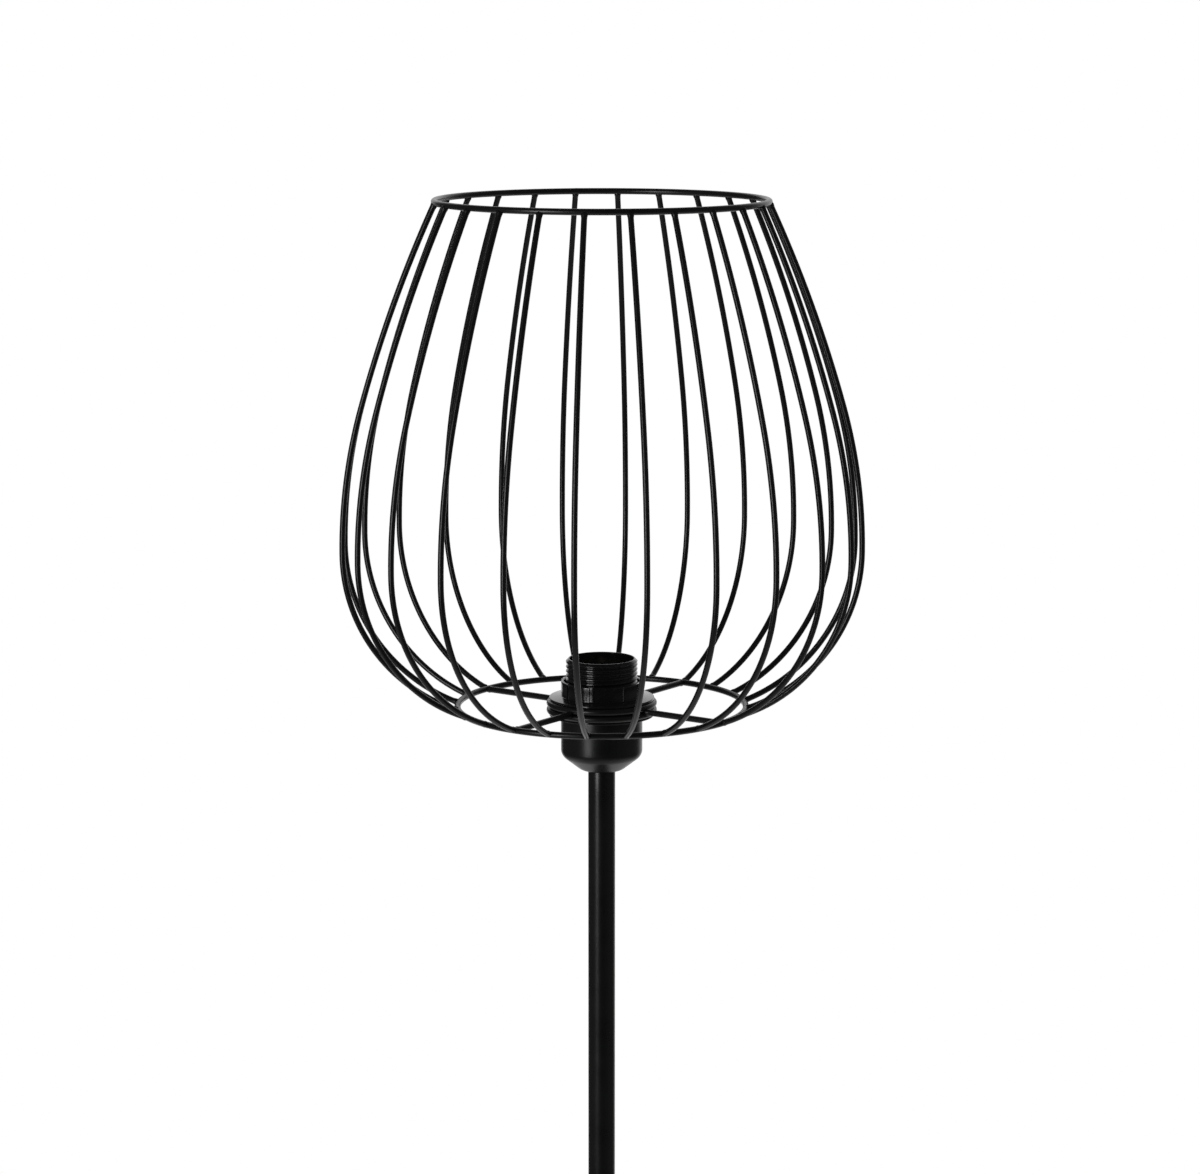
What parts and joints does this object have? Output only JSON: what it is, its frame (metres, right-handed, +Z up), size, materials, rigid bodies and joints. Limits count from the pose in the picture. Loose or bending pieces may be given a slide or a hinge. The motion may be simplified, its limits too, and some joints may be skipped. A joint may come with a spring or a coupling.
{
  "type": "wire cage floor lamp",
  "caption": "Floor lamp: a bulb-shaped cage of upright wires held by a screwed shade ring on a lampholder, on a slim pole with a heavy round base; all satin black.",
  "frame": {"origin": "on the floor, on the pole's axis, under the middle of the base", "axes": "+Z up along the pole; -Y is the picture's front; the cord's inlet is at the back, +Y"},
  "size_m": [0.2866, 0.2866, 1.5],
  "materials": {
    "black_powder_coat": "satin black powder coat on steel",
    "black_plastic": "moulded black thermoplastic, slightly glossy",
    "nickel_plate": "nickel-plated rolled shell",
    "phosphor_bronze": "spring bronze strip",
    "brass": "turned brass",
    "zinc_steel": "bright zinc-plated steel",
    "grey_iron": "sand-cast iron",
    "foam_rubber": "dense foam rubber pad"
  },
  "bodies": {
    "root": {"holder_skirt": "black_plastic", "holder_insert": "black_plastic", "screw_shell": "nickel_plate", "contact_foot": "phosphor_bronze", "contact_rivet": "brass", "terminal_blocks": "brass", "terminal_screws": "zinc_steel", "holder_cap": "black_plastic", "cap_lock_screw": "zinc_steel", "holder_cup": "black_powder_coat", "cup_tooth_washer": "zinc_steel", "cup_lock_nut": "zinc_steel", "top_nipple": "zinc_steel", "pole_upper": "black_powder_coat", "pole_middle": "black_powder_coat", "pole_lower": "black_powder_coat", "pole_plugs": "zinc_steel", "pole_studs": "zinc_steel", "base_cover": "black_powder_coat", "base_weight": "grey_iron", "base_nipple": "zinc_steel", "base_washer": "zinc_steel", "base_nut": "zinc_steel", "base_feet": "foam_rubber", "cord_bushing": "black_plastic"},
    "cage": {"cage_top_ring": "black_powder_coat", "cage_bottom_ring": "black_powder_coat", "cage_ribs": "black_powder_coat", "cage_spokes": "black_powder_coat", "cage_hub_upper": "black_powder_coat", "cage_hub_lower": "black_powder_coat"},
    "shade_ring": {"shade_ring": "black_plastic"},
    "contact": {"centre_contact": "phosphor_bronze"}
  },
  "joints": [
    {"name": "cage_lift", "type": "slide", "parent": "root", "child": "cage", "axis": [0, 0, 1], "range_m": [0, 0.023]},
    {"name": "ring_turn", "type": "hinge", "parent": "cage", "child": "shade_ring", "pos_m": [0, 0, 1.2286], "axis": [0, 0, 1], "range_deg": [0, 3312]},
    {"name": "contact_press", "type": "hinge", "parent": "root", "child": "contact", "pos_m": [-0.0084, 0, 1.21575], "axis": [0, 1, 0], "range_deg": [0, 8], "stiffness_Nm_per_rad": 0.35}
  ],
  "couplings": [
    {"joint": "ring_turn", "follows": "cage_lift", "rad_per_m": 2513.3}
  ]
}
